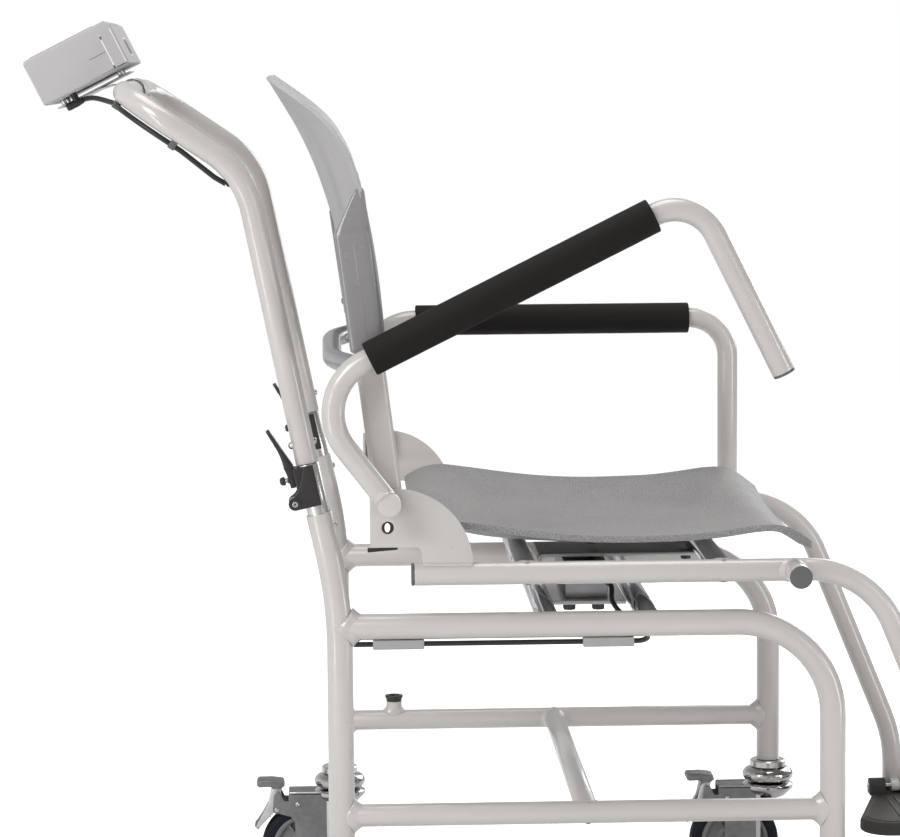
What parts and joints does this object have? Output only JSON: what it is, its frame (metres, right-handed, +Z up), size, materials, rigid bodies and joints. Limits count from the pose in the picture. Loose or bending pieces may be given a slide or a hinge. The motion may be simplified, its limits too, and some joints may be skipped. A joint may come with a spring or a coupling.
{
  "type": "digital chair scale",
  "caption": "Weighing chair on swivel castors: tubular frame, moulded seat and back, lift-up armrests, flip-up footplates, folding push handle and a tilted weight indicator.",
  "frame": {"origin": "on the floor under the middle of the outer box", "axes": "+X the way the sitter faces, +Y the sitter's left, +Z up"},
  "size_m": [1.0466, 0.6196, 0.9671],
  "materials": {
    "arm": "light grey satin paint",
    "arm_pad": "fine-grained black foam sleeve",
    "back_bow": "bright chrome plate",
    "back_post": "light grey satin paint",
    "back_shell": "grey moulded plastic with a leather grain",
    "base_cross_tube": "bright chrome plate",
    "bottom_cross_tube": "light grey satin paint",
    "brake_pedal": "zinc plated pressed steel",
    "cable_grommet": "black rubber",
    "carriage_cross_tube": "bright chrome plate",
    "carriage_side": "light grey satin paint",
    "castor_fork": "zinc plated pressed steel",
    "castor_head": "bright chrome plate",
    "castor_wheel": "dark grey tread on a grey nylon hub",
    "clamp_body": "black moulded plastic",
    "clamp_lever": "black moulded plastic",
    "footplate": "black ribbed plastic",
    "handle_clip": "dark grey plastic",
    "hinge_spigot": "bright aluminium",
    "indicator_bracket": "light grey satin paint",
    "indicator_cable": "black cable jacket",
    "indicator_case": "light grey moulded plastic",
    "indicator_panel": "printed membrane panel",
    "load_cell": "machined aluminium",
    "load_cell_cable": "black cable jacket",
    "load_cell_plate": "light grey satin paint",
    "load_channel": "light grey satin paint",
    "peg_cap": "dark grey plastic",
    "push_handle": "light grey satin paint",
    "rail_cap": "dark grey plastic",
    "rail_clip": "dark grey plastic",
    "seat_shell": "grey moulded plastic with a leather grain",
    "side_frame": "light grey satin paint"
  },
  "bodies": {
    "chair_frame": {"back_bow": "back_bow", "back_post_left": "back_post", "back_post_right": "back_post", "back_shell": "back_shell", "base_cross_tube_front": "base_cross_tube", "base_cross_tube_rear": "base_cross_tube", "bottom_cross_tube": "bottom_cross_tube", "carriage_cross_tube_front": "carriage_cross_tube", "carriage_cross_tube_rear": "carriage_cross_tube", "carriage_side_left": "carriage_side", "carriage_side_right": "carriage_side", "castor_head_front_left": "castor_head", "castor_head_front_right": "castor_head", "castor_head_rear_left": "castor_head", "castor_head_rear_right": "castor_head", "hinge_spigot_left": "hinge_spigot", "hinge_spigot_right": "hinge_spigot", "load_cell": "load_cell", "load_cell_cable": "load_cell_cable", "load_cell_plate": "load_cell_plate", "load_channel": "load_channel", "peg_cap_left": "peg_cap", "peg_cap_right": "peg_cap", "rail_cap_left": "rail_cap", "rail_cap_right": "rail_cap", "rail_clip_front": "rail_clip", "rail_clip_rear": "rail_clip", "seat_shell": "seat_shell", "side_frame_left": "side_frame", "side_frame_right": "side_frame"},
    "push_handle": {"push_handle": "push_handle", "clamp_body_left": "clamp_body", "clamp_body_right": "clamp_body", "indicator_case": "indicator_case", "indicator_panel": "indicator_panel", "indicator_bracket": "indicator_bracket", "indicator_cable": "indicator_cable", "handle_clip_upper": "handle_clip", "handle_clip_lower": "handle_clip", "cable_grommet": "cable_grommet"},
    "clamp_lever_left": {"clamp_lever_left": "clamp_lever"},
    "armrest_left": {"arm_left": "arm", "arm_pad_left": "arm_pad"},
    "footplate_left": {"footplate_left": "footplate"},
    "clamp_lever_right": {"clamp_lever_right": "clamp_lever"},
    "armrest_right": {"arm_right": "arm", "arm_pad_right": "arm_pad"},
    "footplate_right": {"footplate_right": "footplate"},
    "castor_fork_front_left": {"castor_fork_front_left": "castor_fork"},
    "castor_wheel_front_left": {"castor_wheel_front_left": "castor_wheel"},
    "brake_pedal_front_left": {"brake_pedal_front_left": "brake_pedal"},
    "castor_fork_front_right": {"castor_fork_front_right": "castor_fork"},
    "castor_wheel_front_right": {"castor_wheel_front_right": "castor_wheel"},
    "brake_pedal_front_right": {"brake_pedal_front_right": "brake_pedal"},
    "castor_fork_rear_left": {"castor_fork_rear_left": "castor_fork"},
    "castor_wheel_rear_left": {"castor_wheel_rear_left": "castor_wheel"},
    "brake_pedal_rear_left": {"brake_pedal_rear_left": "brake_pedal"},
    "castor_fork_rear_right": {"castor_fork_rear_right": "castor_fork"},
    "castor_wheel_rear_right": {"castor_wheel_rear_right": "castor_wheel"},
    "brake_pedal_rear_right": {"brake_pedal_rear_right": "brake_pedal"}
  },
  "joints": [
    {"name": "castor_swivel_front_left", "type": "hinge", "parent": "chair_frame", "child": "castor_fork_front_left", "pos_m": [0.2671, 0.24, 0.11], "axis": [0, 0, 1], "continuous": true},
    {"name": "castor_roll_front_left", "type": "hinge", "parent": "castor_fork_front_left", "child": "castor_wheel_front_left", "pos_m": [0.2286, 0.24, 0.05], "axis": [0, 1, 0], "continuous": true},
    {"name": "brake_pedal_front_left_press", "type": "hinge", "parent": "castor_fork_front_left", "child": "brake_pedal_front_left", "pos_m": [0.1961, 0.24, 0.0956], "axis": [0, -1, 0], "range_deg": [0, 12]},
    {"name": "castor_swivel_front_right", "type": "hinge", "parent": "chair_frame", "child": "castor_fork_front_right", "pos_m": [0.2671, -0.24, 0.11], "axis": [0, 0, 1], "continuous": true},
    {"name": "castor_roll_front_right", "type": "hinge", "parent": "castor_fork_front_right", "child": "castor_wheel_front_right", "pos_m": [0.2286, -0.24, 0.05], "axis": [0, 1, 0], "continuous": true},
    {"name": "brake_pedal_front_right_press", "type": "hinge", "parent": "castor_fork_front_right", "child": "brake_pedal_front_right", "pos_m": [0.1961, -0.24, 0.0956], "axis": [0, -1, 0], "range_deg": [0, 12]},
    {"name": "castor_swivel_rear_left", "type": "hinge", "parent": "chair_frame", "child": "castor_fork_rear_left", "pos_m": [-0.2157, 0.24, 0.11], "axis": [0, 0, 1], "continuous": true},
    {"name": "castor_roll_rear_left", "type": "hinge", "parent": "castor_fork_rear_left", "child": "castor_wheel_rear_left", "pos_m": [-0.2542, 0.24, 0.05], "axis": [0, 1, 0], "continuous": true},
    {"name": "brake_pedal_rear_left_press", "type": "hinge", "parent": "castor_fork_rear_left", "child": "brake_pedal_rear_left", "pos_m": [-0.2867, 0.24, 0.0956], "axis": [0, -1, 0], "range_deg": [0, 12]},
    {"name": "castor_swivel_rear_right", "type": "hinge", "parent": "chair_frame", "child": "castor_fork_rear_right", "pos_m": [-0.2157, -0.24, 0.11], "axis": [0, 0, 1], "continuous": true},
    {"name": "castor_roll_rear_right", "type": "hinge", "parent": "castor_fork_rear_right", "child": "castor_wheel_rear_right", "pos_m": [-0.2542, -0.24, 0.05], "axis": [0, 1, 0], "continuous": true},
    {"name": "brake_pedal_rear_right_press", "type": "hinge", "parent": "castor_fork_rear_right", "child": "brake_pedal_rear_right", "pos_m": [-0.2867, -0.24, 0.0956], "axis": [0, -1, 0], "range_deg": [0, 12]},
    {"name": "handle_fold", "type": "hinge", "parent": "chair_frame", "child": "push_handle", "pos_m": [-0.25742, 0, 0.50282], "axis": [0, -1, 0], "range_deg": [0, 95]},
    {"name": "clamp_lever_left_open", "type": "hinge", "parent": "push_handle", "child": "clamp_lever_left", "pos_m": [-0.26353, 0.24, 0.52472], "axis": [0, -1, 0], "range_deg": [0, 75]},
    {"name": "armrest_left_lift", "type": "hinge", "parent": "chair_frame", "child": "armrest_left", "pos_m": [-0.1672, 0.285, 0.506], "axis": [0, -1, 0], "range_deg": [0, 95]},
    {"name": "footplate_left_flip", "type": "hinge", "parent": "chair_frame", "child": "footplate_left", "pos_m": [0.4113, 0.236, 0.1098], "axis": [-1, 0, 0], "range_deg": [0, 90]},
    {"name": "clamp_lever_right_open", "type": "hinge", "parent": "push_handle", "child": "clamp_lever_right", "pos_m": [-0.26353, -0.24, 0.52472], "axis": [0, -1, 0], "range_deg": [0, 75]},
    {"name": "armrest_right_lift", "type": "hinge", "parent": "chair_frame", "child": "armrest_right", "pos_m": [-0.1672, -0.285, 0.506], "axis": [0, -1, 0], "range_deg": [-26.4, 68.6]},
    {"name": "footplate_right_flip", "type": "hinge", "parent": "chair_frame", "child": "footplate_right", "pos_m": [0.4113, -0.236, 0.1098], "axis": [1, 0, 0], "range_deg": [0, 90]}
  ]
}
